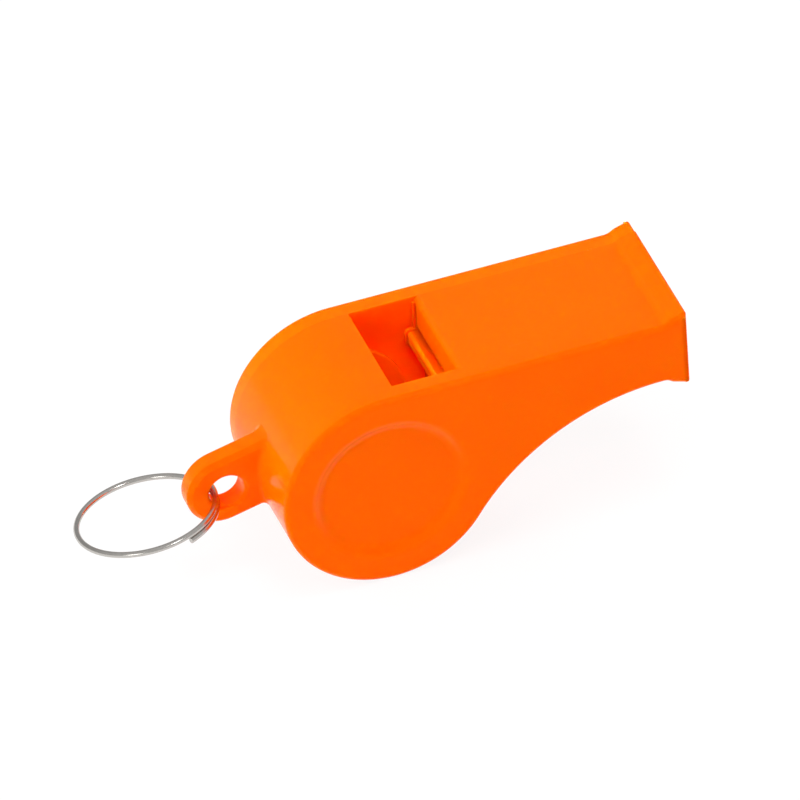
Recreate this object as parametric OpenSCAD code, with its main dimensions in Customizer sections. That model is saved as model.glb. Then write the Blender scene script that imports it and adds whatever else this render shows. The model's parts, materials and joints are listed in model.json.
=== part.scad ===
// Pea whistle: a moulded body, a welded side cover, a loose cork pea and a steel split ring.
// It is drawn on the drum's axis: X runs along the flat top to the mouth, Y is the drum's axis and
// Z is up. Each piece is then moved so that the origin lies under the middle of the whole whistle.

/* [Body] */
// Width over both sides
body_w = 17; // [14:0.5:22]
// Outer radius of the drum
drum_r = 11.3; // [10:0.1:14]
// From the drum's axis to the mouth end
body_l = 32.3; // [28:0.1:40]
// Height of the mouthpiece just behind its lip
mouth_h = 7; // [6:0.1:9]
// Rounding of the long outer edges
edge_r = 0.7; // [0.2:0.1:0.7]

/* [Walls] */
// Thickness of the near side wall
side_t = 2.05; // [1.2:0.05:2.5]
// Thickness of the welded side cover
cover_t = 2.05; // [1.2:0.05:2.5]
// Thickness of the barrel wall round the chamber
barrel_t = 1.8; // [1.2:0.1:2.5]
// Thickness of the belly wall under the core pocket
belly_t = 1.8; // [1.2:0.1:2.5]
// Radius of the sunk disc on each side
disc_r = 8; // [5:0.1:8.2]
// Depth of the sunk disc, and height of the boss behind it
disc_depth = 0.5; // [0.2:0.1:1]

/* [Windway] */
// From the drum's axis to the blowing edge of the window
window_x = 1.4; // [0:0.1:3]
// Length of the window along the top
window_l = 7.15; // [5.5:0.05:7.5]
// How far the tongue reaches past the roof's end
tongue_reach = 1.4; // [0.5:0.1:1.8]
// Thickness of the tongue over the core pocket
tongue_t = 1.5; // [1:0.1:2]
// Thickness of the roof where it ends at the window
roof_t = 3.35; // [2.5:0.05:4]
// Thickness of the roof at the mouth
mouth_roof_t = 1.5; // [1:0.1:2]
// Height of the windway where it leaves for the window
exit_h = 0.75; // [0.5:0.05:1.2]
// Height of the windway at the mouth
slot_h = 4; // [2.5:0.1:4.2]

/* [Lip] */
// Length of the bite lip along the mouthpiece
lip_l = 1.5; // [1.5:0.1:2.5]
// Height of the lip above the flat top
lip_rise = 0.9; // [0.3:0.1:1.2]
// Depth of the lip below the underside
lip_drop = 0.7; // [0.3:0.1:1]
// Radius of the hollow curve that runs out into the lip
flare_r = 2; // [1:0.1:4]

/* [Lug] */
// From the drum's surface to the centre of the lug's round end
lug_l = 3.95; // [3.5:0.05:6]
// Height of that centre above the drum's axis
lug_z = -0.75; // [-3:0.05:3]
// How far the lug points down, in degrees
lug_tilt = 13.5; // [0:0.5:20]
// Radius of the lug's round end
lug_r = 3.85; // [3.4:0.05:5]
// Thickness of the lug
lug_t = 2.7; // [2:0.1:4]
// Rounding of the lug's edges
lug_edge_r = 0.9; // [0.2:0.1:0.9]
// Radius of the ring hole
hole_r = 2.1; // [2:0.05:2.4]
// How far the hole's centre lies in from the centre of the round end
hole_in = 0.3; // [0:0.05:0.6]
// Chamfer at both ends of the hole
hole_chamfer = 0.3; // [0.1:0.05:0.5]

/* [Pea] */
// Diameter of the cork pea
pea_d = 9; // [8:0.1:10]
// Clearance between the pea and the barrel wall
pea_gap = 0.25; // [0.15:0.05:0.6]

/* [Split ring] */
// Radius of the ring to the middle of its wire
ring_r = 7.2; // [6:0.1:9]
// Diameter of the wire
wire_d = 0.62; // [0.5:0.02:0.8]
// Clearance between the ring's two strands where they lie side by side
lap_gap = 0.45; // [0.42:0.01:0.6]
// How far the ring's ends lie past each other, in degrees
lap_angle = 100; // [60:5:140]
// How far the visible end lies from the hole, in degrees
end_angle = 70; // [40:5:90]
// Clearance of the wire in the hole
ring_play = 0.65; // [0.5:0.05:0.9]
// How far the ring hangs below the level, in degrees
ring_droop = 7.8; // [0:0.1:15]
// How far the ring leans towards the far side, in degrees
ring_lean = 8.5; // [0:0.5:12]

/* [Hidden] */
$fn = 96;
plastic_colour = "#ff7a00";
cork_colour = "#b98a5a";
steel_colour = "#c9c9cc";

// How far a cut runs past the face that it opens
cut_past = 1;
// Points along the arcs of the outline
drum_steps = 60;
belly_steps = 14;
bead_steps = 8;
flare_steps = 5;
lug_steps = 24;
// Layers that round an edge off
edge_steps = 4;
// Sections along one turn of the ring, and sides of its wire
turn_steps = 24;
wire_sides = 8;

near_y = -body_w / 2;
far_y = body_w / 2;
near_wall_y = near_y + side_t;
seam_y = far_y - cover_t;
chamber_r = drum_r - barrel_t;
chamber_mid_y = (near_wall_y + seam_y) / 2;

// The lip is a bead, with a hollow flare into it from the top and from the underside
bead_r = lip_l / 2;
bead_x = body_l - bead_r;
under_z = drum_r - mouth_h;
top_bead_z = drum_r + lip_rise - bead_r;
low_bead_z = under_z - lip_drop + bead_r;
function flare_run(rise) = sqrt(pow(flare_r + bead_r, 2) - pow(flare_r + bead_r - rise, 2));
function flare_turn(rise) = acos((flare_r + bead_r - rise) / (flare_r + bead_r));
top_flare_x = bead_x - flare_run(lip_rise);
low_flare_x = bead_x - flare_run(lip_drop);

// The belly's hollow curve touches the drum, and runs level where the lip's flare starts
belly_r = (pow(low_flare_x, 2) + pow(under_z, 2) - pow(drum_r, 2)) / (2 * (drum_r + under_z));
belly_c = [low_flare_x, under_z - belly_r];
belly_dir = atan2(belly_c.y, belly_c.x);

// Windway: the roof and the tongue's top run straight from the mouth to the window
roof_x = window_x + window_l;
roof_z = drum_r - roof_t;
tongue_x = roof_x - tongue_reach;
tongue_z = roof_z - exit_h;
slot_top_z = drum_r - mouth_roof_t;
slot_low_z = slot_top_z - slot_h;
tongue_slope = (slot_low_z - tongue_z) / (body_l - tongue_x);
function tongue_top(x) = tongue_z + (x - tongue_x) * tongue_slope;
function roof_under(x) = roof_z + (x - roof_x) * (slot_top_z - roof_z) / (body_l - roof_x);

// Lug: its round end, the hole that the ring hangs in, and a root that the chamber cuts off
lug_end = [-drum_r - lug_l, lug_z];
lug_in = [cos(lug_tilt), sin(lug_tilt)];
hole_c = lug_end + hole_in * lug_in;
lug_root = norm(lug_end);

pea_orbit_r = chamber_r - pea_d / 2 - pea_gap;

// Ring: one unbroken helix, from its hidden end through the hole and once round to its visible end
ring_seat = hole_r - wire_d / 2 - ring_play;
ring_pitch = wire_d + lap_gap;
ring_mid = [
    hole_c.x - (ring_r + ring_seat) * cos(ring_droop),
    0,
    hole_c.y - (ring_r + ring_seat) * sin(ring_droop)
];
ring_out = [cos(ring_droop), 0, sin(ring_droop)];
ring_across = [sin(ring_droop) * sin(ring_lean), cos(ring_lean), -cos(ring_droop) * sin(ring_lean)];
ring_up = cross(ring_out, ring_across);
ring_start = lap_angle - end_angle;
ring_turn = 360 + lap_angle;
ring_steps = ceil(turn_steps * ring_turn / 360);
ring_angles = [for (i = [0:ring_steps]) ring_start - ring_turn * i / ring_steps];
ring_mid_angle = ring_start - ring_turn / 2;

function ring_radial(a) = cos(a) * ring_out + sin(a) * ring_across;
function ring_point(a) = ring_mid + ring_r * ring_radial(a)
    + ring_pitch * (a - ring_mid_angle) / 360 * ring_up;
ring_points = [for (a = ring_angles) ring_point(a)];

// Least clearance of the ring to itself, on points at least half a turn apart along the wire
ring_self_gap = min([
    for (i = [0:ring_steps], j = [i + turn_steps / 2:ring_steps])
        norm(ring_points[i] - ring_points[j])
]) - wire_d;
echo("least gap of the split ring to itself in mm", ring_self_gap);

// The origin lies under the middle of the whole length, at the height of the drum's underside
ring_left = min([for (p = ring_points) p.x]) - wire_d / 2;
box_mid_x = (body_l + ring_left) / 2;

// Points of an arc, without its last one where the next arc starts there
function arc(c, r, from, to, steps, ends = true) = [
    for (i = [0:ends ? steps : steps - 1])
        let (a = from + (to - from) * i / steps)
        c + r * [cos(a), sin(a)]
];

// Side outline of the whistle, drawn in by inset, from the drum's top round to the flat top again
function side_outline(inset) = concat(
    arc([0, 0], drum_r - inset, 90, 360 + belly_dir, drum_steps, false),
    arc(belly_c, belly_r + inset, 180 + belly_dir, 90, belly_steps, false),
    arc([low_flare_x, under_z - flare_r], flare_r + inset, 90, 90 - flare_turn(lip_drop), flare_steps, false),
    arc([bead_x, low_bead_z], bead_r - inset, 270 - flare_turn(lip_drop), 360, bead_steps),
    arc([bead_x, top_bead_z], bead_r - inset, 0, 90 + flare_turn(lip_rise), bead_steps, false),
    arc([top_flare_x, drum_r + flare_r], flare_r + inset, 270 + flare_turn(lip_rise), 270, flare_steps)
);

// Outline of the lug, from the upper side round its end to its root inside the barrel wall
function lug_outline(inset) = concat(
    arc(lug_end, lug_r - inset, 90 + lug_tilt, 270 + lug_tilt, lug_steps),
    [for (side = [-1, 1]) lug_end + lug_root * lug_in + side * (lug_r - inset) * [-lug_in.y, lug_in.x]]
);

// Layers from a flat face at from_y to a face at to_y whose edge is rounded off with radius r
function rounded_layers(from_y, to_y, r) = concat(
    [[from_y, 0]],
    [for (i = [0:edge_steps])
        [to_y - sign(to_y - from_y) * r * (1 - sin(90 * i / edge_steps)), r * (1 - cos(90 * i / edge_steps))]]
);

function reversed(list) = [for (i = [len(list) - 1:-1:0]) list[i]];

// Solid through a stack of outlines, each at its own y, listed from the near side to the far side
module stacked(outlines, ys) {
    count = len(outlines[0]);
    last = len(ys) - 1;
    points = [for (k = [0:last]) for (p = outlines[k]) [p.x, ys[k], p.y]];
    near_cap = [for (i = [count - 1:-1:0]) i];
    far_cap = [for (i = [0:count - 1]) last * count + i];
    walls = [
        for (k = [0:last - 1], i = [0:count - 1])
            let (j = (i + 1) % count)
            [k * count + i, k * count + j, (k + 1) * count + j, (k + 1) * count + i]
    ];
    polyhedron(points, concat([near_cap, far_cap], walls));
}

// Slab of the side outline, rounded at the face that lies furthest from the middle.
// Its layers run past both faces and are then cut off flat.
module side_slab(inner_y, outer_y) {
    out = sign(outer_y - inner_y);
    layers = concat(
        rounded_layers(inner_y - out * cut_past, outer_y, edge_r),
        [[outer_y + out * cut_past, edge_r]]
    );
    ordered = out < 0 ? reversed(layers) : layers;
    intersection() {
        stacked([for (layer = ordered) side_outline(layer[1])], [for (layer = ordered) layer[0]]);
        translate([-drum_r - cut_past, min(inner_y, outer_y), -drum_r - cut_past])
            cube([
                drum_r + body_l + 2 * cut_past,
                abs(outer_y - inner_y),
                2 * drum_r + lip_rise + 2 * cut_past
            ]);
    }
}

module lug() {
    half = rounded_layers(0, lug_t / 2, lug_edge_r);
    layers = concat(
        reversed([for (layer = half) [-layer[0], layer[1]]]),
        [for (i = [1:len(half) - 1]) half[i]]
    );
    stacked([for (layer = layers) lug_outline(layer[1])], [for (layer = layers) layer[0]]);
}

// Extrudes a side view between two values of y
module across(from_y, to_y) {
    translate([0, to_y, 0]) rotate([90, 0, 0]) linear_extrude(to_y - from_y) children();
}

// Round bar along the drum's axis
module axial(c, r, from_y, to_y) {
    translate([c.x, from_y, c.y]) rotate([-90, 0, 0]) cylinder(r = r, h = to_y - from_y);
}

// Chamber, window and windway in one side view
module air_space() {
    circle(chamber_r);
    polygon([
        [window_x, 0],
        [tongue_x, 0],
        [tongue_x, tongue_z],
        [body_l + cut_past, tongue_top(body_l + cut_past)],
        [body_l + cut_past, roof_under(body_l + cut_past)],
        [roof_x, roof_z],
        [roof_x, drum_r + cut_past],
        [window_x, drum_r + cut_past]
    ]);
}

// Pocket that keeps the wall between the tongue, the barrel and the belly even
module core_pocket() {
    difference() {
        polygon([
            [0, 0],
            [low_flare_x, 0],
            [low_flare_x, tongue_top(low_flare_x) - tongue_t],
            [0, tongue_top(0) - tongue_t]
        ]);
        circle(drum_r);
        translate(belly_c) circle(belly_r + belly_t);
    }
}

// Hole through the lug, with a chamfer at each end
module ring_hole() {
    axial(hole_c, hole_r, -lug_t / 2 - cut_past, lug_t / 2 + cut_past);
    for (side = [-1, 1])
        translate([hole_c.x, side * lug_t / 2, hole_c.y]) rotate([side * 90, 0, 0])
            cylinder(r1 = hole_r + hole_chamfer, r2 = hole_r, h = hole_chamfer);
}

module body_moulding() {
    color(plastic_colour) {
        difference() {
            union() {
                side_slab(seam_y, near_y);
                lug();
            }
            across(near_wall_y, seam_y + cut_past) air_space();
            across(near_wall_y, seam_y + cut_past) core_pocket();
            axial([0, 0], disc_r, near_y - cut_past, near_y + disc_depth);
            ring_hole();
        }
        axial([0, 0], disc_r, near_wall_y, near_wall_y + disc_depth);
    }
}

module side_cover() {
    color(plastic_colour) {
        difference() {
            side_slab(seam_y, far_y);
            axial([0, 0], disc_r, far_y - disc_depth, far_y + cut_past);
        }
        axial([0, 0], disc_r, seam_y - disc_depth, seam_y);
    }
}

module pea() {
    color(cork_colour) translate([0, chamber_mid_y, -pea_orbit_r]) sphere(d = pea_d);
}

module split_ring() {
    points = [
        for (a = ring_angles, k = [0:wire_sides - 1])
            let (turn = 360 * k / wire_sides)
            ring_point(a) + wire_d / 2 * (cos(turn) * ring_radial(a) + sin(turn) * ring_up)
    ];
    first_cap = [for (k = [0:wire_sides - 1]) k];
    last_cap = [for (k = [wire_sides - 1:-1:0]) ring_steps * wire_sides + k];
    walls = [
        for (i = [0:ring_steps - 1], k = [0:wire_sides - 1])
            let (next = (k + 1) % wire_sides, here = i * wire_sides, ahead = here + wire_sides)
            each [[here + k, ahead + k, ahead + next], [here + k, ahead + next, here + next]]
    ];
    color(steel_colour) polyhedron(points, concat([first_cap, last_cap], walls));
}

module placed() {
    translate([-box_mid_x, 0, drum_r]) children();
}

placed() body_moulding();
placed() side_cover();
placed() pea();
placed() split_ring();
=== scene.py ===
import bmesh
import bpy
import json
import math
from mathutils import Matrix, Vector


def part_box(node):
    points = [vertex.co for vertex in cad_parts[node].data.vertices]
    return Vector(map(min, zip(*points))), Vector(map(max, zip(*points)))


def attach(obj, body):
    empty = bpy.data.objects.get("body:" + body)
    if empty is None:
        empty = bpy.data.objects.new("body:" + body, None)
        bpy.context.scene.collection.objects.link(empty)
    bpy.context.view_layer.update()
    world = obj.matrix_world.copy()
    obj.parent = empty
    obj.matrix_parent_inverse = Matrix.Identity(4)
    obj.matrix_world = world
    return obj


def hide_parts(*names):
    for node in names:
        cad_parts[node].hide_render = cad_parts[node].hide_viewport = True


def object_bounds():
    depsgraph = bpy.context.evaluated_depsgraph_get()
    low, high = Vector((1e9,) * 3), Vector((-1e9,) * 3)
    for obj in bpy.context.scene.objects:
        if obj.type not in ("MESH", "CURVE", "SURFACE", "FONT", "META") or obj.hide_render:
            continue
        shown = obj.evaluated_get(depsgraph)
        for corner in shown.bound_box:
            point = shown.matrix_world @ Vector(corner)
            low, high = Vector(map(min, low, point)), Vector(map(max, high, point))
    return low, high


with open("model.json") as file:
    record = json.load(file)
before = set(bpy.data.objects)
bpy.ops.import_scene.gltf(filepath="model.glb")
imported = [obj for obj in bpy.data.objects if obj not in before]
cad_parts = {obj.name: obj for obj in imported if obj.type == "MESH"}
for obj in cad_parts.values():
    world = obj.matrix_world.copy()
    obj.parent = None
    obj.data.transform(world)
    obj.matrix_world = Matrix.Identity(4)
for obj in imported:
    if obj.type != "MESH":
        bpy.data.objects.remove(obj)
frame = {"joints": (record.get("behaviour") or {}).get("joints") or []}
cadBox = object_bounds()
mm = 0.001

# Every piece is drawn in millimetres on the drum's axis, and settles into the frame at the end.
# In the side view x runs to the mouth and z is up; y is the drum's axis, and the near side is negative.
jointPlace = {joint["name"]: Vector(joint["pos_m"]) for joint in frame["joints"]}
drumAxis = jointPlace["pea_orbit"]
bodyLow, bodyHigh = [(corner - drumAxis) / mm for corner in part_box("body_moulding")]
coverHigh = (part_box("side_cover")[1] - drumAxis) / mm
peaLow, peaHigh = [(corner - drumAxis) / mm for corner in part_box("pea")]
holeAxis = (jointPlace["ring_swing"] - drumAxis) / mm
nearY = bodyLow.y
seamY = bodyHigh.y
farY = coverHigh.y
drumR = -bodyLow.z
mouthX = bodyHigh.x
pastFace = 1.0  # how far a cutting shape runs past the face that it opens

# How far a corner may lie from a plane, a face, a circle or a slope and still count as on it
planeSlack, slack, roundSlack, wideSlack = 0.001, 0.01, 0.02, 0.05


def pickOnly(piece):
    bpy.ops.object.select_all(action="DESELECT")
    piece.select_set(True)
    bpy.context.view_layer.objects.active = piece


def startEdit(piece, kind="EDGE"):
    pickOnly(piece)
    bpy.ops.object.mode_set(mode="EDIT")
    bpy.ops.mesh.select_mode(type=kind)
    bpy.ops.mesh.select_all(action="DESELECT")


def endEdit():
    bpy.ops.object.mode_set(mode="OBJECT")


# Selects the edges whose two ends both pass the test, and says how many there are
def pickEdges(piece, passes):
    mesh = bmesh.from_edit_mesh(piece.data)
    found = 0
    for edge in mesh.edges:
        chosen = all(passes(end.co) for end in edge.verts)
        edge.select_set(chosen)
        found += chosen
    mesh.select_flush(False)
    bmesh.update_edit_mesh(piece.data)
    return found


# Selects the faces whose list of corners passes the test, and says how many there are
def pickFaces(piece, passes):
    mesh = bmesh.from_edit_mesh(piece.data)
    found = 0
    for face in mesh.faces:
        chosen = passes([corner.co for corner in face.verts])
        face.select_set(chosen)
        found += chosen
    mesh.select_flush(False)
    bmesh.update_edit_mesh(piece.data)
    return found


# One point is moved along straight lines and spun round the centres of arcs, in the side view.
# A stroke is a line to its end, or a turn round its centre by so many degrees in so many steps.
def drawSideView(name, start, strokes, y):
    bpy.ops.object.select_all(action="DESELECT")
    bpy.ops.mesh.primitive_plane_add(size=1, location=(start[0], y, start[1]))
    outline = bpy.context.object
    outline.name = name
    bpy.ops.object.transform_apply(location=True)
    bpy.ops.object.mode_set(mode="EDIT")
    bpy.ops.mesh.select_mode(type="VERT")
    bpy.ops.mesh.select_all(action="SELECT")
    bpy.ops.mesh.merge(type="CENTER")
    bpy.ops.mesh.select_all(action="SELECT")
    pen = start
    for kind, goal, *turning in strokes:
        if kind == "line":
            step = (goal[0] - pen[0], 0, goal[1] - pen[1])
            bpy.ops.mesh.extrude_vertices_move(TRANSFORM_OT_translate={"value": step})
            pen = goal
        else:
            degrees, steps = turning
            turn = math.radians(degrees)
            bpy.ops.mesh.spin(steps=steps, angle=turn, center=(goal[0], y, goal[1]), axis=(0, 1, 0))
            cosine, sine = math.cos(turn), math.sin(turn)
            dx, dz = pen[0] - goal[0], pen[1] - goal[1]
            pen = (goal[0] + cosine * dx - sine * dz, goal[1] + sine * dx + cosine * dz)
    bpy.ops.mesh.select_all(action="SELECT")
    bpy.ops.mesh.remove_doubles(threshold=planeSlack)
    bpy.ops.mesh.edge_face_add()
    endEdit()
    return outline


# Pulls a drawn side view out along the drum's axis
def pullOut(piece, depth):
    startEdit(piece, "FACE")
    bpy.ops.mesh.select_all(action="SELECT")
    bpy.ops.mesh.extrude_region_move(TRANSFORM_OT_translate={"value": (0, depth, 0)})
    bpy.ops.mesh.select_all(action="SELECT")
    bpy.ops.mesh.normals_make_consistent(inside=False)
    endEdit()
    return piece


def roundBar(name, centre, radius, fromY, toY, sides):
    bpy.ops.object.select_all(action="DESELECT")
    bpy.ops.mesh.primitive_cylinder_add(
        vertices=sides,
        radius=radius,
        depth=toY - fromY,
        location=(centre[0], (fromY + toY) / 2, centre[1]),
        rotation=(math.pi / 2, 0, 0),
    )
    bar = bpy.context.object
    bar.name = name
    bpy.ops.object.transform_apply(location=True, rotation=True)
    return bar


def combine(piece, other, operation):
    pickOnly(piece)
    modifier = piece.modifiers.new("combine", "BOOLEAN")
    modifier.object = other
    modifier.operation = operation
    modifier.solver = "EXACT"
    bpy.ops.object.modifier_apply(modifier=modifier.name)
    bpy.data.objects.remove(other)


# A form of 0.5 is a round edge and one of 0.25 a flat chamfer
def roundEdges(piece, passes, radius, segments, form=0.5):
    startEdit(piece)
    found = pickEdges(piece, passes)
    bpy.ops.mesh.bevel(
        offset=radius, segments=segments, profile=form, affect="EDGES", clamp_overlap=False
    )
    endEdit()
    return found


def near(a, b, within=slack):
    return abs(a - b) < within


# Faces that pass the test take a material of their own
def paintFaces(piece, material, passes):
    piece.data.materials.append(material)
    startEdit(piece, "FACE")
    found = pickFaces(piece, passes)
    piece.active_material_index = len(piece.data.materials) - 1
    bpy.ops.object.material_slot_assign()
    endEdit()
    print(f"{piece.name}: {found} faces of {material.name}")


# Smooth shading with true flats, then real size and place in the frame
def settle(piece, body, node, smoothAngle=40):
    pickOnly(piece)
    bpy.ops.object.shade_smooth_by_angle(angle=math.radians(smoothAngle))
    modifier = piece.modifiers.new("flats", "WEIGHTED_NORMAL")
    modifier.keep_sharp = True
    bpy.ops.object.modifier_apply(modifier=modifier.name)
    piece.scale = (mm, mm, mm)
    piece.location = drumAxis
    bpy.ops.object.transform_apply(location=True, rotation=True, scale=True)
    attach(piece, body)
    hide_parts(node)
    print(f"{piece.name}: {len(piece.data.polygons)} faces, rides on {body}")


# sRGB hex to the linear colour that a shader takes
def hexColour(code):
    shares = [int(code[i:i + 2], 16) / 255 for i in (0, 2, 4)]
    linear = [s / 12.92 if s <= 0.04045 else ((s + 0.055) / 1.055) ** 2.4 for s in shares]
    return (*linear, 1.0)


# Adds one node with its settings, and sets or links its sockets, by number or by name
def addNode(tree, kind, settings=None, sockets=None, **named):
    node = tree.nodes.new(kind)
    for name, value in (settings or {}).items():
        setattr(node, name, value)
    feeds = dict(sockets or {})
    feeds.update({name.replace("_", " "): value for name, value in named.items()})
    for socket, value in feeds.items():
        if isinstance(value, bpy.types.NodeSocket):
            tree.links.new(value, node.inputs[socket])
        else:
            node.inputs[socket].default_value = value
    return node


def newMaterial(name):
    material = bpy.data.materials.new(name)
    material.use_nodes = True
    tree = material.node_tree
    return material, tree, tree.nodes["Principled BSDF"]


# Texture scale at which one cell or wave of a pattern is that many millimetres across
def perSize(size):
    return 1 / (size * mm)


mixFirst, mixSecond, mixResult = 6, 7, 2  # numbers of a Mix node's colour sockets
noiseLow, noiseHigh = 0.3, 0.7  # most of a noise pattern lies between these

# Orange polystyrene, injection-moulded in a polished tool. It gives an even, glossy skin with a slow
# waviness, faint pigment drift and a few hairline scuffs. The cover is coloured paler than the body, as
# painted light that brightens its far top strip. Round the chamber red light soaks through the thin walls,
# and in the narrow edges of the tongue and ridge it hardly soaks.
plastic = {
    "body": {"colour": "FF6000", "drift": "FF6A00", "soak": 0.8},
    # the cover's paler colour is painted light: it brightens the far top strip as more light would
    "cover": {"colour": "FF6800", "drift": "FF7200", "soak": 0.8},
    "inside": {"colour": "FF6000", "drift": "FF6A00", "soak": 8.0},
    "edges": {"colour": "FF6000", "drift": "FF6A00", "soak": 0.12},
    "soakShares": (1.0, 0.2, 0.04), "ior": 1.55, "shine": 0.08, "tint": "FFB060",
    "driftSize": 9.0, "speckSize": 0.35, "glossSize": 4.0, "smooth": 0.13, "dull": 0.19,
    "peelSize": 1.4, "peelDeep": 0.003, "sinkSize": 11.0, "sinkDeep": 0.04,
    "scuffLong": 6.0, "scuffWide": 0.12, "scuffFrom": 0.66, "scuffFull": 0.74, "scuffDull": 0.12,
}


def mouldedPlastic(name, shade):
    material, tree, shader = newMaterial(name)
    place = addNode(tree, "ShaderNodeTexCoord").outputs["Object"]
    drift = addNode(
        tree, "ShaderNodeTexNoise", Vector=place, Scale=perSize(plastic["driftSize"]), Detail=2.0
    )
    speck = addNode(
        tree, "ShaderNodeTexNoise", Vector=place, Scale=perSize(plastic["speckSize"]), Detail=3.0
    )
    blend = addNode(tree, "ShaderNodeMath", {"operation": "MULTIPLY"}, {
        0: drift.outputs["Fac"],
        1: speck.outputs["Fac"],
    })
    colour = addNode(tree, "ShaderNodeMix", {"data_type": "RGBA"}, {
        "Factor": blend.outputs[0],
        mixFirst: hexColour(shade["colour"]),
        mixSecond: hexColour(shade["drift"]),
    })
    tree.links.new(colour.outputs[mixResult], shader.inputs["Base Color"])
    # hairline scuffs run along the whistle
    stretch = addNode(
        tree, "ShaderNodeMapping", Vector=place,
        Scale=(1 / plastic["scuffLong"], 1 / plastic["scuffWide"], 1 / plastic["scuffWide"]),
    )
    scuff = addNode(
        tree, "ShaderNodeTexNoise", Vector=stretch.outputs["Vector"], Scale=perSize(1.0), Detail=2.0
    )
    line = addNode(
        tree, "ShaderNodeMapRange", Value=scuff.outputs["Fac"], From_Min=plastic["scuffFrom"],
        From_Max=plastic["scuffFull"], To_Min=0.0, To_Max=plastic["scuffDull"],
    )
    cloud = addNode(
        tree, "ShaderNodeTexNoise", Vector=place, Scale=perSize(plastic["glossSize"]), Detail=3.0
    )
    gloss = addNode(
        tree, "ShaderNodeMapRange", Value=cloud.outputs["Fac"], From_Min=noiseLow, From_Max=noiseHigh,
        To_Min=plastic["smooth"], To_Max=plastic["dull"],
    )
    rough = addNode(tree, "ShaderNodeMath", {"operation": "ADD"}, {
        0: gloss.outputs["Result"],
        1: line.outputs["Result"],
    })
    tree.links.new(rough.outputs[0], shader.inputs["Roughness"])
    # slow sink waves under a fine skin
    peel = addNode(
        tree, "ShaderNodeTexNoise", Vector=place, Scale=perSize(plastic["peelSize"]), Detail=1.0
    )
    sink = addNode(
        tree, "ShaderNodeTexNoise", Vector=place, Scale=perSize(plastic["sinkSize"]), Detail=0.0
    )
    waves = addNode(
        tree, "ShaderNodeBump", Height=sink.outputs["Fac"], Distance=plastic["sinkDeep"] * mm, Strength=1.0
    )
    skin = addNode(
        tree, "ShaderNodeBump", Height=peel.outputs["Fac"], Distance=plastic["peelDeep"] * mm, Strength=1.0,
        Normal=waves.outputs["Normal"],
    )
    tree.links.new(skin.outputs["Normal"], shader.inputs["Normal"])
    shader.inputs["IOR"].default_value = plastic["ior"]
    shader.inputs["Specular IOR Level"].default_value = plastic["shine"]
    shader.inputs["Specular Tint"].default_value = hexColour(plastic["tint"])
    shader.inputs["Subsurface Weight"].default_value = 1.0
    shader.inputs["Subsurface Radius"].default_value = plastic["soakShares"]
    shader.inputs["Subsurface Scale"].default_value = shade["soak"] * mm
    return material


# Spring steel, drawn to wire and bright plated: a slightly soft mirror with a faint fine mottle
steel = {"colour": "CFCBC6", "shade": "B9B5B0", "mottleSize": 0.3, "smooth": 0.19, "dull": 0.22}


def drawnSteel():
    material, tree, shader = newMaterial("spring steel, drawn and bright plated")
    place = addNode(tree, "ShaderNodeTexCoord").outputs["Object"]
    mottle = addNode(
        tree, "ShaderNodeTexNoise", Vector=place, Scale=perSize(steel["mottleSize"]), Detail=4.0
    )
    colour = addNode(tree, "ShaderNodeMix", {"data_type": "RGBA"}, {
        "Factor": mottle.outputs["Fac"],
        mixFirst: hexColour(steel["shade"]),
        mixSecond: hexColour(steel["colour"]),
    })
    tree.links.new(colour.outputs[mixResult], shader.inputs["Base Color"])
    gloss = addNode(
        tree, "ShaderNodeMapRange", Value=mottle.outputs["Fac"], From_Min=noiseLow, From_Max=noiseHigh,
        To_Min=steel["smooth"], To_Max=steel["dull"],
    )
    tree.links.new(gloss.outputs["Result"], shader.inputs["Roughness"])
    shader.inputs["Metallic"].default_value = 1.0
    return material


# Cork granules pressed and ground to a ball: brown grains of mixed tones, darker gaps, a dull open skin
cork = {
    "grainSize": 0.6, "pale": "C99F6C", "brown": "AB7D4C", "gap": "7E5632", "gapWide": 0.12, "gapShow": 0.8,
    "poreSize": 0.2, "grainDeep": 0.05, "dull": 0.85,
}


def pressedCork():
    material, tree, shader = newMaterial("cork granules, pressed and ground")
    place = addNode(tree, "ShaderNodeTexCoord").outputs["Object"]
    grain = addNode(tree, "ShaderNodeTexVoronoi", Vector=place, Scale=perSize(cork["grainSize"]))
    rim = addNode(
        tree, "ShaderNodeTexVoronoi", {"feature": "DISTANCE_TO_EDGE"}, Vector=place,
        Scale=perSize(cork["grainSize"]),
    )
    pore = addNode(
        tree, "ShaderNodeTexNoise", Vector=place, Scale=perSize(cork["poreSize"]), Detail=4.0
    )
    tone = addNode(tree, "ShaderNodeSeparateColor", Color=grain.outputs["Color"])
    grains = addNode(tree, "ShaderNodeMix", {"data_type": "RGBA"}, {
        "Factor": tone.outputs["Red"],
        mixFirst: hexColour(cork["brown"]),
        mixSecond: hexColour(cork["pale"]),
    })
    gap = addNode(
        tree, "ShaderNodeMapRange", Value=rim.outputs["Distance"], From_Min=0.0, From_Max=cork["gapWide"],
        To_Min=cork["gapShow"], To_Max=0.0,
    )
    colour = addNode(tree, "ShaderNodeMix", {"data_type": "RGBA"}, {
        "Factor": gap.outputs["Result"],
        mixFirst: grains.outputs[mixResult],
        mixSecond: hexColour(cork["gap"]),
    })
    tree.links.new(colour.outputs[mixResult], shader.inputs["Base Color"])
    height = addNode(tree, "ShaderNodeMath", {"operation": "SUBTRACT"}, {
        0: pore.outputs["Fac"],
        1: gap.outputs["Result"],
    })
    skin = addNode(
        tree, "ShaderNodeBump", Height=height.outputs[0], Distance=cork["grainDeep"] * mm, Strength=1.0
    )
    tree.links.new(skin.outputs["Normal"], shader.inputs["Normal"])
    shader.inputs["Roughness"].default_value = cork["dull"]
    return material


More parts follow.
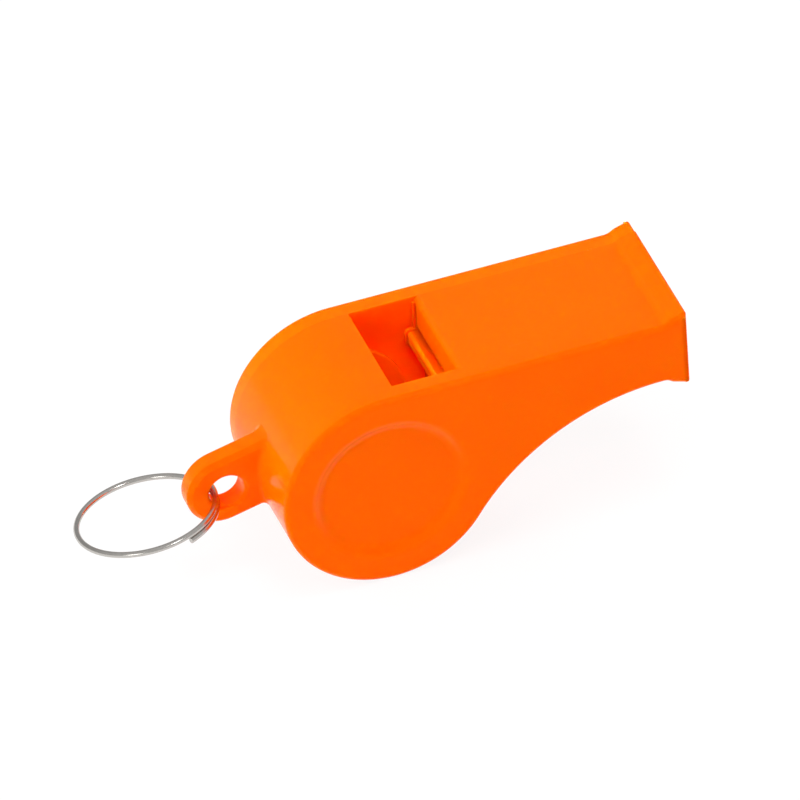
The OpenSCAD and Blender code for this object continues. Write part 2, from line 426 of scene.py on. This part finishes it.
bodyPlastic = mouldedPlastic("orange polystyrene, moulded glossy", plastic["body"])
# the cover takes the paler colour, which paints in the light on its far top strip
coverPlastic = mouldedPlastic("orange polystyrene, paler as painted light", plastic["cover"])
insidePlastic = mouldedPlastic("orange polystyrene, lit through the wall", plastic["inside"])
edgePlastic = mouldedPlastic("orange polystyrene, narrow moulded edge", plastic["edges"])
steelWire = drawnSteel()
groundCork = pressedCork()
print("materials ready")

# Side view of the whistle, shared by the body and its cover. A lip rises round the mouth: it bends up out
# of the top and out of the underside, and then runs on at a slight tilt to the mouth's own corner.
side = {
    "mouthHigh": 7.05, "lipDrop": 0.9, "lipBend": 1.2, "lipTurn": 38.0, "lipTilt": 18.0, "corner": 0.28,
    "edge": 0.6, "drumSteps": 128, "bellySteps": 48, "bendSteps": 8, "cornerSteps": 8,
}
underZ = drumR - side["mouthHigh"]
lipTurn = math.radians(side["lipTurn"])
lipTilt = math.radians(side["lipTilt"])


# Centres of the lip's corner, of its outer bend and of its inner bend, and the way out of its tilted face;
# up is 1 above and -1 below
def lipCentres(fromZ, height, up):
    bent = side["lipBend"] * (1 + math.cos(lipTilt) - 2 * math.cos(lipTurn))
    slant = (height - bent - side["corner"] * (1 - math.cos(lipTilt))) / math.sin(lipTilt)
    tilted = Vector((-math.sin(lipTilt), up * math.cos(lipTilt)))
    turned = Vector((-math.sin(lipTurn), up * math.cos(lipTurn)))
    corner = Vector((mouthX - side["corner"], fromZ + up * (height - side["corner"])))
    backward = Vector((-math.cos(lipTilt), -up * math.sin(lipTilt)))
    outerBend = corner + tilted * (side["corner"] - side["lipBend"]) + backward * slant
    return corner, outerBend, outerBend + turned * 2 * side["lipBend"], tilted


topCorner, topOuter, topInner, topTilted = lipCentres(drumR, bodyHigh.z - drumR, 1)
lowCorner, lowOuter, lowInner, lowTilted = lipCentres(underZ, side["lipDrop"], -1)
lipX = lowInner.x

# The belly's arc touches the drum and runs level into the lower lip
bellyR = (lipX ** 2 + underZ ** 2 - drumR ** 2) / (2 * (drumR + underZ))
bellyMid = (lipX, underZ - bellyR)
bellyTurn = math.degrees(math.atan2(bellyMid[1], bellyMid[0]))


# Drum, belly, lower lip, mouth and upper lip, then back along the flat top. Arcs keep their centres, so a
# start that is drawn in brings the whole outline in.
def wholeSide(name, y, inset=0.0):
    bendTurn = side["lipTurn"] - side["lipTilt"]
    cornerTurn = 90 + side["lipTilt"]
    return drawSideView(name, (0, drumR - inset), [
        ("turn", (0, 0), 270 + bellyTurn, side["drumSteps"]),
        ("turn", bellyMid, -90 - bellyTurn, side["bellySteps"]),
        ("turn", tuple(lowInner), -side["lipTurn"], side["bendSteps"]),
        ("turn", tuple(lowOuter), bendTurn, side["bendSteps"]),
        ("line", tuple(lowCorner + lowTilted * (side["corner"] - inset))),
        ("turn", tuple(lowCorner), cornerTurn, side["cornerSteps"]),
        ("line", (mouthX - inset, topCorner.y)),
        ("turn", tuple(topCorner), cornerTurn, side["cornerSteps"]),
        ("line", tuple(topOuter + topTilted * (side["lipBend"] - inset))),
        ("turn", tuple(topOuter), bendTurn, side["bendSteps"]),
        ("turn", tuple(topInner), -side["lipTurn"], side["bendSteps"]),
        ("line", (0, drumR - inset)),
    ], y)


# Air space of the chamber, the window and the windway, drawn in by inset
airway = {
    "left": 1.4, "long": 7.05, "tongueReach": 1.0, "tongueRound": 0.4, "roofThick": 3.5, "roofRound": 0.7,
    "mouthRoof": 1.5, "exitHigh": 0.6, "slotHigh": 4.0, "barrelWall": 1.8, "sideWall": 2.05,
    "roundSteps": 8, "chamberSides": 160,
}
chamberR = drumR - airway["barrelWall"]
nearWallY = nearY + airway["sideWall"]
roofX = airway["left"] + airway["long"]
roofZ = drumR - airway["roofThick"]
tongueX = roofX - airway["tongueReach"]
tongueZ = roofZ - airway["exitHigh"]
slotTop = drumR - airway["mouthRoof"]
slotLow = slotTop - airway["slotHigh"]
tongueSlope = (slotLow - tongueZ) / (mouthX - tongueX)
roofSlope = (slotTop - roofZ) / (mouthX - roofX)


def makeAirSpace(fromY, toY, inset=0.0, endX=mouthX + pastFace, topZ=drumR + pastFace):
    tongueMid = (tongueX + airway["tongueRound"], tongueZ - airway["tongueRound"])
    roofMid = (roofX + airway["roofRound"], drumR - airway["roofRound"])
    left = airway["left"] + inset
    # over the roof's rounded end where the space opens at the top, and straight up where it stops below
    roofEnd = [("line", (roofX - inset, roofMid[1]))]
    if topZ > drumR:
        roofEnd += [
            ("turn", roofMid, -90, airway["roundSteps"]),
            ("line", (roofMid[0], topZ)),
        ]
    else:
        roofEnd += [("line", (roofX - inset, topZ))]
    space = pullOut(drawSideView("air_space", (left, 0), [
        ("line", (tongueX - inset, 0)),
        ("line", (tongueX - inset, tongueMid[1])),
        ("turn", tongueMid, -90, airway["roundSteps"]),
        ("line", (endX, tongueZ + inset + (endX - tongueX) * tongueSlope)),
        ("line", (endX, roofZ - inset + (endX - roofX) * roofSlope)),
        ("line", (roofX - inset, roofZ - inset)),
        *roofEnd,
        ("line", (left, topZ)),
        ("line", (left, 0)),
    ], fromY), toY - fromY)
    chamber = roundBar("chamber", (0, 0), chamberR - inset, fromY, toY, airway["chamberSides"])
    combine(space, chamber, "UNION")
    return space


def inChamber(p):
    return math.hypot(p.x, p.z) < chamberR + roundSlack


# Sunk disc outside each wall, and the flat boss that stands behind it inside the cover
disc = {
    "r": 8.2, "deep": 0.6, "slope": 0.85, "rim": 0.35, "foot": 0.45,
    "bossR": 7.0, "bossHigh": 0.45, "bossRound": 0.2, "steps": 6, "sides": 160,
}


def sinkDisc(piece, faceY, depth):
    radius = disc["r"]
    floorY = faceY + depth
    outY = faceY - math.copysign(pastFace, depth)
    tool = roundBar("disc_tool", (0, 0), radius, min(floorY, outY), max(floorY, outY), disc["sides"])
    # the tool is its full radius at the face, and narrower at the floor by the slope
    startEdit(tool)
    wider = disc["slope"] * pastFace / abs(depth)
    for endY, endR in ((floorY, radius - disc["slope"]), (outY, radius + wider)):
        pickEdges(tool, lambda p: near(p.y, endY))
        bpy.ops.transform.resize(value=(endR / radius, 1, endR / radius), center_override=(0, endY, 0))
    endEdit()
    roundEdges(tool, lambda p: near(p.y, floorY), disc["foot"], disc["steps"])
    combine(piece, tool, "DIFFERENCE")
    onRim = lambda p: near(p.y, faceY) and near(math.hypot(p.x, p.z), radius, wideSlack)
    roundEdges(piece, onRim, disc["rim"], disc["steps"])


def raiseBoss(piece, faceY):
    topY = faceY - disc["bossHigh"]
    boss = roundBar("boss", (0, 0), disc["bossR"], topY, faceY + disc["bossHigh"], disc["sides"])
    roundEdges(boss, lambda p: near(p.y, topY), disc["bossRound"], disc["steps"])
    combine(piece, boss, "UNION")


# Lug with rounded edges and the hole for the ring; its neck flares out to meet the drum
lug = {
    "out": 3.95, "z": -0.75, "tilt": 13.5, "endR": 3.85, "endSteps": 48, "thick": 2.7,
    "edge": 0.58, "edgeSteps": 6, "edgeForm": 0.3,
    "holeR": 1.9, "holeRound": 0.42, "holeShift": (0.05, -0.12), "holeSides": 64,
    "flare": 0.6, "flareTurn": 75.0, "flareSteps": 6, "neckCuts": 15, "neckRoom": 0.05,
    "dip": 0.5, "sink": 1.0,
}


def makeLug():
    tilt = math.radians(lug["tilt"])
    inward = Vector((math.cos(tilt), math.sin(tilt)))
    upward = Vector((-math.sin(tilt), math.cos(tilt)))
    up = upward * lug["endR"]
    end = Vector((-drumR - lug["out"], lug["z"]))
    root = end + inward * end.length
    half = lug["thick"] / 2
    piece = pullOut(drawSideView("lug", tuple(root + up), [
        ("line", tuple(end + up)),
        ("turn", tuple(end), 180, lug["endSteps"]),
        ("line", tuple(root - up)),
        ("line", tuple(root + up)),
    ], -half), lug["thick"])
    for faceY in (-half, half):
        roundEdges(piece, lambda p: near(p.y, faceY), lug["edge"], lug["edgeSteps"], lug["edgeForm"])
    hole = (holeAxis.x + lug["holeShift"][0], holeAxis.z + lug["holeShift"][1])
    tool = roundBar("hole_tool", hole, lug["holeR"], -half - pastFace, half + pastFace, lug["holeSides"])
    combine(piece, tool, "DIFFERENCE")
    inHole = lambda p: near(math.hypot(p.x - hole[0], p.z - hole[1]), lug["holeR"], roundSlack)
    for faceY in (-half, half):
        roundEdges(piece, lambda p: inHole(p) and near(p.y, faceY), lug["holeRound"], lug["edgeSteps"])

    # way from the lug's end to the circle of that radius, along the lug at that height on its neck
    def wayIn(height, radius):
        start = end + upward * height
        closest = -start.dot(inward)
        return closest - math.sqrt(closest ** 2 - start.length_squared + radius ** 2)

    # the lug is cut short of the flare, and the neck grows from the cut
    heights = (-lug["endR"], 0, lug["endR"])
    neck = min(wayIn(height, drumR + lug["flare"]) for height in heights) - lug["neckRoom"]
    cutAt = end + inward * neck
    startEdit(piece)
    bpy.ops.mesh.select_all(action="SELECT")
    bpy.ops.mesh.bisect(
        plane_co=(cutAt.x, 0, cutAt.y), plane_no=(inward.x, 0, inward.y), use_fill=True, clear_outer=True
    )
    onCut = lambda p: near((Vector((p.x, p.z)) - cutAt).dot(inward), 0, planeSlack)
    pickEdges(piece, lambda p: onCut(p) and near(abs(p.y), half, planeSlack))
    bpy.ops.mesh.subdivide(number_cuts=lug["neckCuts"])
    bpy.ops.mesh.select_mode(type="FACE")
    pickFaces(piece, lambda corners: all(map(onCut, corners)))
    flat = (half - lug["edge"], lug["endR"] - lug["edge"])

    # next ring of the neck: wider than the last by that much, on the circle that high above the drum
    def nextRing(grow, above):
        bpy.ops.mesh.extrude_region_move(TRANSFORM_OT_translate={"value": (0, 0, 0)})
        mesh = bmesh.from_edit_mesh(piece.data)
        for corner in mesh.verts:
            if not corner.select:
                continue
            y, height = corner.co.y, (Vector((corner.co.x, corner.co.z)) - end).dot(upward)
            core = Vector((max(-flat[0], min(flat[0], y)), max(-flat[1], min(flat[1], height))))
            outward = Vector((y, height)) - core
            y, height = core + outward + outward.normalized() * grow
            spot = end + upward * height + inward * wayIn(height, drumR + above)
            corner.co = (spot.x, y, spot.y)
        bmesh.update_edit_mesh(piece.data)

    grown = 0
    for step in range(lug["flareSteps"] + 1):
        turn = math.radians(lug["flareTurn"] * step / lug["flareSteps"])
        wider = lug["flare"] * (1 - math.cos(turn))
        nextRing(wider - grown, lug["flare"] * (1 - math.sin(turn)))
        grown = wider
    lowest = lug["flare"] * (1 - math.sin(turn)) - lug["dip"] * math.cos(turn)
    nextRing(lug["dip"] * math.sin(turn), lowest)
    nextRing(0, lowest - lug["sink"])
    bpy.ops.mesh.select_all(action="SELECT")
    bpy.ops.mesh.normals_make_consistent(inside=False)
    endEdit()
    return piece


# Body moulding: a slab of the whole side view with its lug, hollowed from the cover's side
shell = {
    "edgeSteps": 6, "seam": 0.12, "windowEdge": 0.1, "slotEdge": 0.3, "easeSteps": 4,
    "tongueThick": 1.5, "bellyWall": 1.8,
}


# Pocket between the barrel, the tongue and the belly, which keeps the walls even
def makePocket(fromY, toY):
    ceilingZ = tongueZ - shell["tongueThick"]
    pocket = pullOut(drawSideView("pocket", (0, 0), [
        ("line", (lipX, 0)),
        ("line", (lipX, ceilingZ + (lipX - tongueX) * tongueSlope)),
        ("line", (0, ceilingZ - tongueX * tongueSlope)),
        ("line", (0, 0)),
    ], fromY), toY - fromY)
    past = (fromY - pastFace, toY + pastFace)
    barrel = roundBar("barrel", (0, 0), drumR, *past, disc["sides"])
    combine(pocket, barrel, "DIFFERENCE")
    belly = roundBar("belly", bellyMid, bellyR + shell["bellyWall"], *past, disc["sides"])
    combine(pocket, belly, "DIFFERENCE")
    return pocket


def onNearSill(p):
    besideWindow = airway["left"] - slack < p.x < roofX + airway["roofRound"] + slack
    return near(p.z, drumR) and besideWindow and near(p.y, nearWallY)


def inSlot(p):
    inHeight = slotLow - wideSlack < p.z < slotTop + wideSlack
    return near(p.x, mouthX) and inHeight and p.y > nearWallY - slack


def onBarrel(p):
    return inChamber(p) and p.y > nearWallY - slack


def onTongue(p):
    above = p.z - tongueZ - (p.x - tongueX) * tongueSlope
    inHeight = slack - shell["tongueThick"] < above < wideSlack
    return inHeight and p.x > tongueX - slack and p.y > nearWallY - slack


def makeBody():
    body = pullOut(wholeSide("whistle_body", nearY), seamY - nearY)
    roundEdges(body, lambda p: near(p.y, nearY), side["edge"], shell["edgeSteps"])
    roundEdges(body, lambda p: near(p.y, seamY), shell["seam"], shell["easeSteps"])
    combine(body, makeLug(), "UNION")
    combine(body, makeAirSpace(nearWallY, seamY + pastFace), "DIFFERENCE")
    combine(body, makePocket(nearWallY, seamY + pastFace), "DIFFERENCE")
    print("window edges:", roundEdges(body, onNearSill, shell["windowEdge"], shell["easeSteps"]))
    print("mouth edges:", roundEdges(body, inSlot, shell["slotEdge"], shell["easeSteps"]))
    sinkDisc(body, nearY, disc["deep"])
    body.data.materials.append(bodyPlastic)
    paintFaces(body, insidePlastic, lambda corners: all(map(onBarrel, corners)))
    paintFaces(body, edgePlastic, lambda corners: all(map(onTongue, corners)))
    settle(body, "whistle", "body_moulding")


makeBody()

# Side cover, welded on a step below the body's eased edge; a locating ridge runs round inside the walls
cover = {
    "step": 0.08, "edge": 0.5, "ridgeWide": 0.26, "ridgeHigh": 0.4, "ridgeRoot": 0.06, "ridgeGap": 0.03,
    "ridgeTop": 0.6, "ridgeEnd": 2.0,
}


def makeRidge():
    lowY, highY = seamY - cover["ridgeHigh"], seamY + cover["ridgeRoot"]
    ridge = makeAirSpace(
        lowY, highY, cover["ridgeGap"], mouthX - cover["ridgeEnd"], drumR - cover["ridgeTop"]
    )
    inner = makeAirSpace(lowY - pastFace, highY + pastFace, cover["ridgeGap"] + cover["ridgeWide"])
    combine(ridge, inner, "DIFFERENCE")
    return ridge


def onPlate(p):
    return near(p.y, seamY)


def onBoss(p):
    return math.hypot(p.x, p.z) < disc["bossR"] + roundSlack and p.y < seamY + slack


def isRidge(corners):
    ahead = all(p.y < seamY + slack and not onBoss(p) for p in corners)
    return ahead and not all(map(onPlate, corners))


def isChamberEnd(corners):
    return any(map(inChamber, corners)) and all(onBoss(p) or onPlate(p) for p in corners)


def makeCover():
    plate = pullOut(wholeSide("side_plate", seamY, cover["step"]), farY - seamY)
    roundEdges(plate, lambda p: near(p.y, farY), cover["edge"], shell["edgeSteps"])
    combine(plate, makeRidge(), "UNION")
    sinkDisc(plate, farY, -disc["deep"])
    raiseBoss(plate, seamY)
    plate.data.materials.append(coverPlastic)
    paintFaces(plate, edgePlastic, isRidge)
    paintFaces(plate, insidePlastic, isChamberEnd)
    settle(plate, "whistle", "side_cover")


makeCover()

# Cork pea: a ground ball, pitted a little below its full size
pea = {"fine": 6, "pitSize": 0.9, "pitDeep": 0.12, "pitLayers": 3, "smoothAngle": 80}


def makePea():
    middle = (peaLow + peaHigh) / 2
    radius = (peaHigh.z - peaLow.z) / 2
    bpy.ops.object.select_all(action="DESELECT")
    bpy.ops.mesh.primitive_ico_sphere_add(subdivisions=pea["fine"], radius=radius, location=middle)
    ball = bpy.context.object
    ball.name = "cork_pea"
    bpy.ops.object.transform_apply(location=True)
    pits = bpy.data.textures.new("cork pits", "CLOUDS")
    pits.noise_scale = pea["pitSize"]
    pits.noise_depth = pea["pitLayers"]
    modifier = ball.modifiers.new("pits", "DISPLACE")
    modifier.texture = pits
    modifier.texture_coords = "LOCAL"
    modifier.strength = pea["pitDeep"]
    modifier.mid_level = 1.0
    bpy.ops.object.modifier_apply(modifier=modifier.name)
    ball.data.materials.append(groundCork)
    settle(ball, "pea", "pea", pea["smoothAngle"])


makePea()

# Split ring: one turn and a quarter of spring wire, its ends lying side by side where it hangs in the lug
ring = {
    "r": 7.2, "wire": 0.62, "pitch": 0.7, "lap": 100.0, "end": 70.0, "droop": 7.2, "lean": 8.7,
    "mid": (-23.21, -0.09, -1.95), "sides": 32, "steps": 240, "burr": 0.07, "burrSteps": 3,
    "smoothAngle": 60,
}


def makeRing():
    turn = 360 + ring["lap"]
    rise = ring["pitch"] * turn / 360
    bpy.ops.object.select_all(action="DESELECT")
    bpy.ops.mesh.primitive_circle_add(
        vertices=ring["sides"], radius=ring["wire"] / 2, location=(ring["r"], 0, -rise / 2),
        rotation=(math.pi / 2, 0, 0),
    )
    wire = bpy.context.object
    wire.name = "wire_ring"
    bpy.ops.object.transform_apply(location=True, rotation=True)
    modifier = wire.modifiers.new("turns", "SCREW")
    modifier.axis = "Z"
    modifier.angle = math.radians(turn)
    modifier.screw_offset = rise
    modifier.steps = ring["steps"]
    modifier.render_steps = ring["steps"]
    bpy.ops.object.modifier_apply(modifier=modifier.name)
    startEdit(wire)
    bpy.ops.mesh.select_non_manifold(extend=False)
    bpy.ops.mesh.edge_face_add()
    bpy.ops.mesh.bevel(offset=ring["burr"], segments=ring["burrSteps"], affect="EDGES")
    bpy.ops.mesh.select_all(action="SELECT")
    bpy.ops.mesh.normals_make_consistent(inside=False)
    endEdit()
    droop, lean = math.radians(ring["droop"]), math.radians(ring["lean"])
    towardsLug = Vector((math.cos(droop), 0, math.sin(droop)))
    across = Vector((math.sin(droop) * math.sin(lean), math.cos(lean), -math.cos(droop) * math.sin(lean)))
    upright = towardsLug.cross(across)
    hang = Matrix((towardsLug, across, upright)).transposed().to_4x4()
    start = Matrix.Rotation(math.radians(-ring["end"]), 4, "Z")
    wire.matrix_world = Matrix.Translation(ring["mid"]) @ hang @ start
    bpy.ops.object.transform_apply(location=True, rotation=True)
    wire.data.materials.append(steelWire)
    settle(wire, "ring", "split_ring", ring["smoothAngle"])


makeRing()

# White paper floor under a soft dome that leans to the front, inside a ring of soft lamps. Glossy
# skins mirror the two small lamps and not the broad ones. Places and sizes are in metres here.
studio = {
    "floor": "EEEEEE", "floorSize": 6.0, "floorRough": 0.9, "paper": 0.88,
    "domeLean": 40.0, "domeDark": -0.25, "domeFull": 0.5, "dark": 0.15, "full": 0.22, "mirrorLift": 1.8,
    "lamps": {
        "left lamp": {"at": (-0.68, -0.15, 0.32), "size": (0.6, 0.6), "power": 5.0, "glints": False},
        "back lamp": {"at": (-0.30, 0.70, 0.28), "size": (0.4, 0.4), "power": 6.0, "glints": False},
        "top lamp": {"at": (0.08, -0.10, 0.79), "size": (0.4, 0.4), "power": 3.1, "glints": False},
        "front lamp": {"at": (0.16, -0.52, 0.60), "size": (0.16, 0.16), "power": 0.9, "glints": True},
        "right lamp": {"at": (0.74, -0.08, 0.26), "size": (0.4, 0.4), "power": 2.4, "glints": False},
        "rim lamp": {"at": (-0.58, -0.49, 0.27), "size": (0.26, 0.26), "power": 0.7, "glints": True},
    },
}

# Narrow beam down the window to the tongue, slanted a little towards the mouth, in millimetres
slit = {
    "through": (5.3, -0.5, 11.3), "along": (0.26, 0.2, -0.94), "away": 60.0, "size": (4.6, 11.2),
    "power": 0.00022, "spread": 2.0,
}


# One for what the camera or a mirror sees, and none for what only lights
def shownRay(tree):
    path = addNode(tree, "ShaderNodeLightPath")
    mirrored = addNode(tree, "ShaderNodeMath", {"operation": "MAXIMUM"}, {
        0: path.outputs["Is Glossy Ray"],
        1: path.outputs["Is Transmission Ray"],
    })
    shown = addNode(tree, "ShaderNodeMath", {"operation": "MAXIMUM"}, {
        0: path.outputs["Is Camera Ray"],
        1: mirrored.outputs[0],
    })
    return shown.outputs[0]


def makeFloor():
    bpy.ops.object.select_all(action="DESELECT")
    bpy.ops.mesh.primitive_plane_add(size=studio["floorSize"], location=(0, 0, cadBox[0].z))
    floor = bpy.context.object
    floor.name = "floor"
    material, tree, shader = newMaterial("white paper sweep")
    shader.inputs["Base Color"].default_value = hexColour(studio["floor"])
    shader.inputs["Roughness"].default_value = studio["floorRough"]
    shader.inputs["Specular IOR Level"].default_value = 0.0
    # most of what is seen is plain white, and the rest takes the shadow
    seen = addNode(tree, "ShaderNodeMath", {"operation": "MULTIPLY"}, {
        0: shownRay(tree),
        1: studio["paper"],
    })
    white = addNode(tree, "ShaderNodeEmission", Color=(1, 1, 1, 1), Strength=1.0)
    blend = addNode(tree, "ShaderNodeMixShader", None, {
        0: seen.outputs[0],
        1: shader.outputs[0],
        2: white.outputs[0],
    })
    tree.links.new(blend.outputs[0], tree.nodes["Material Output"].inputs["Surface"])
    floor.data.materials.append(material)


def makeDome():
    world = bpy.data.worlds.new("studio")
    bpy.context.scene.world = world
    world.use_nodes = True
    tree = world.node_tree
    sky = tree.nodes["Background"]
    sky.inputs["Color"].default_value = (1, 1, 1, 1)
    lean = math.radians(studio["domeLean"])
    height = addNode(tree, "ShaderNodeVectorMath", {"operation": "DOT_PRODUCT"}, {
        0: addNode(tree, "ShaderNodeTexCoord").outputs["Generated"],
        1: (0, -math.sin(lean), math.cos(lean)),
    })
    dome = addNode(
        tree, "ShaderNodeMapRange", {"interpolation_type": "SMOOTHSTEP"}, Value=height.outputs["Value"],
        From_Min=studio["domeDark"], From_Max=studio["domeFull"],
        To_Min=studio["dark"], To_Max=studio["full"],
    )
    lift = addNode(tree, "ShaderNodeMath", {"operation": "MULTIPLY_ADD"}, {
        0: shownRay(tree),
        1: studio["mirrorLift"],
        2: 1.0,
    })
    strength = addNode(tree, "ShaderNodeMath", {"operation": "MULTIPLY"}, {
        0: dome.outputs["Result"],
        1: lift.outputs[0],
    })
    tree.links.new(strength.outputs[0], sky.inputs["Strength"])


def addLamp(name, place, target, size, power, glints):
    bpy.ops.object.light_add(type="AREA", location=place)
    lamp = bpy.context.object
    lamp.name = name
    lamp.data.shape = "RECTANGLE"
    lamp.data.size, lamp.data.size_y = size
    lamp.data.energy = power
    lamp.visible_camera = False
    lamp.visible_glossy = glints
    lamp.rotation_euler = (place - target).to_track_quat("Z", "Y").to_euler()
    return lamp


def makeLamps():
    for name, lamp in studio["lamps"].items():
        addLamp(name, Vector(lamp["at"]), drumAxis, lamp["size"], lamp["power"], lamp["glints"])
    window = drumAxis + Vector(slit["through"]) * mm
    back = -Vector(slit["along"]).normalized()
    above = window + back * slit["away"] * mm
    size = [length * mm for length in slit["size"]]
    beam = addLamp("slit lamp", above, window, size, slit["power"], False)
    beam.data.spread = math.radians(slit["spread"])
    # its long side lies across the window
    short = Vector((0, 1, 0)).cross(back).normalized()
    beam.rotation_euler = Matrix((short, back.cross(short), back)).transposed().to_euler()


# Seen from three metres away, so that the view is nearly parallel
camera = {
    "away": 3000.0, "sensor": 36.0, "clip": 10.0,
    "picture": 800, "perMm": 9.958,  # width of the picture in pixels, and pixels a millimetre
    "aim": (4.597, 1.074, 3.079),
    "right": (0.9382, -0.3424, -0.0506), "down": (-0.2497, -0.5685, -0.7840),
}


def makeCamera():
    right = Vector(camera["right"]).normalized()
    back = right.cross(-Vector(camera["down"])).normalized()
    up = back.cross(right)
    bpy.ops.object.camera_add()
    cam = bpy.context.object
    cam.data.sensor_width = camera["sensor"]
    cam.data.lens = camera["perMm"] * camera["away"] * camera["sensor"] / camera["picture"]
    cam.data.clip_end = camera["clip"]
    place = drumAxis + (Vector(camera["aim"]) + back * camera["away"]) * mm
    cam.matrix_world = Matrix.Translation(place) @ Matrix((right, up, back)).transposed().to_4x4()
    bpy.context.scene.camera = cam


makeFloor()
makeDome()
makeLamps()
makeCamera()
bpy.context.scene.view_settings.view_transform = "Standard"
print("floor, light and camera ready")
